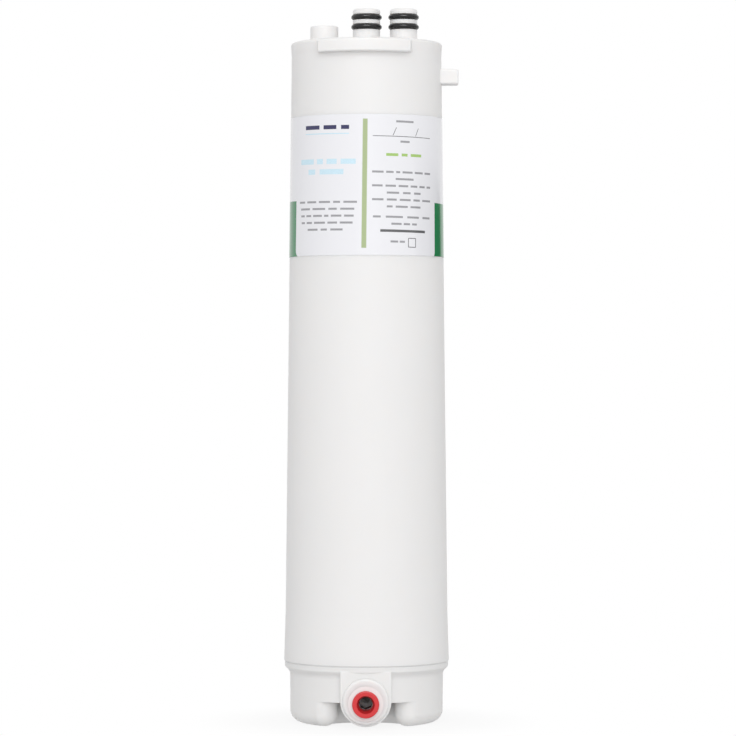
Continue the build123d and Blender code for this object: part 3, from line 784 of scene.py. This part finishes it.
from_axis = add_node(tree, "ShaderNodeVectorMath", {0: place}, operation="LENGTH").outputs["Value"]
far = add_node(
    tree,
    "ShaderNodeMapRange",
    {
        "Value": from_axis,
        "From Min": shadow_near,
        "From Max": shadow_far,
        "To Min": 1.0 - shadow_share,
        "To Max": 1.0,
    },
    interpolation_type="SMOOTHSTEP",
).outputs["Result"]
seen = seen_rays(tree)
glow_share = add_node(tree, "ShaderNodeMix", {"Factor": seen, "A": table_share, "B": far}).outputs["Result"]
glow = add_node(
    tree,
    "ShaderNodeEmission",
    {"Color": (1.0, 1.0, 1.0, 1.0), "Strength": maths(tree, "MAXIMUM", seen, table_level)},
).outputs[0]
blend = add_node(
    tree, "ShaderNodeMixShader", {"Fac": glow_share, 1: shader.outputs["BSDF"], 2: glow}
).outputs["Shader"]
tree.links.new(blend, tree.nodes["Material Output"].inputs["Surface"])
floor_mesh.materials.append(floor_finish)

world = bpy.data.worlds.new("studio_surround")
world.use_nodes = True
bpy.context.scene.world = world
tree = world.node_tree
lighting = tree.nodes["Background"]
lighting.inputs["Color"].default_value = (1.0, 1.0, 1.0, 1.0)
lighting.inputs["Strength"].default_value = surround_level
backdrop = add_node(tree, "ShaderNodeBackground", {"Color": (1.0, 1.0, 1.0, 1.0), "Strength": 1.0})
surround = add_node(
    tree,
    "ShaderNodeMixShader",
    {"Fac": seen_rays(tree), 1: lighting.outputs["Background"], 2: backdrop.outputs["Background"]},
)
tree.links.new(surround.outputs["Shader"], tree.nodes["World Output"].inputs["Surface"])


def aim(lamp, target):
    """Turn a lamp to look at a point."""
    look = Vector(target) - lamp.location
    lamp.rotation_euler = look.to_track_quat("-Z", "Y").to_euler()


def hang_lamp(name, watts, size, place, target):
    """An oblong area lamp that looks at a point."""
    light = bpy.data.lights.new(name, "AREA")
    light.shape = "RECTANGLE"
    light.size, light.size_y = size
    light.energy = watts
    lamp = bpy.data.objects.new(name, light)
    lamp.location = place
    bpy.context.scene.collection.objects.link(lamp)
    aim(lamp, target)
    return lamp


softbox = hang_lamp("softbox", softbox_watts, softbox_size, softbox_place, softbox_aim)
softbox.visible_glossy = False
strip = hang_lamp("strip_light", strip_watts, strip_size, strip_place, strip_aim)
strip.visible_diffuse = False

# Side board
# A dark board stands at the right, out of the picture, and shows only in reflections.
# It keeps the white surround off the gloss of the label there, as a photographer's flag does.
board_tone = (0.10, 0.10, 0.10, 1.0)
board_roughness = 0.9
board_side = 0.62
board_near, board_far = -0.15, 0.85
board_low, board_high = 0.20, 0.31

board_finish, tree, shader, _ = new_finish("dark_board")
shader.inputs["Base Color"].default_value = board_tone
shader.inputs["Roughness"].default_value = board_roughness
shader.inputs["Specular IOR Level"].default_value = 0.0
board_mesh = bpy.data.meshes.new("side_board")
low_edge = [(board_side, board_near, board_low), (board_side, board_far, board_low)]
high_edge = [(board_side, board_far, board_high), (board_side, board_near, board_high)]
board_mesh.from_pydata(low_edge + high_edge, [], [(0, 1, 2, 3)])
board_mesh.materials.append(board_finish)
board = bpy.data.objects.new("side_board", board_mesh)
bpy.context.scene.collection.objects.link(board)
board.visible_camera = False
board.visible_diffuse = False
board.visible_shadow = False
board.visible_transmission = False

# Camera
# A long lens looks level at the middle of the cartridge, from a little to the right of its front.
# The picture is square, and its half side at the axis of the cartridge gives the lens.
camera_reach = 1.595
camera_height = 0.168
camera_turn = math.radians(0.5)
axis_offset = 0.0007
half_picture = 0.17524
sensor_width = 36.0

eye = bpy.data.cameras.new("camera")
eye.sensor_width = sensor_width
eye.lens = sensor_width * camera_reach / (2 * half_picture)
camera = bpy.data.objects.new("camera", eye)
camera.location = (
    camera_reach * math.sin(camera_turn) + axis_offset * math.cos(camera_turn),
    -camera_reach * math.cos(camera_turn) + axis_offset * math.sin(camera_turn),
    camera_height,
)
camera.rotation_euler = (math.pi / 2, 0.0, camera_turn)
bpy.context.scene.collection.objects.link(camera)
bpy.context.scene.camera = camera
bpy.context.scene.view_settings.view_transform = "Standard"
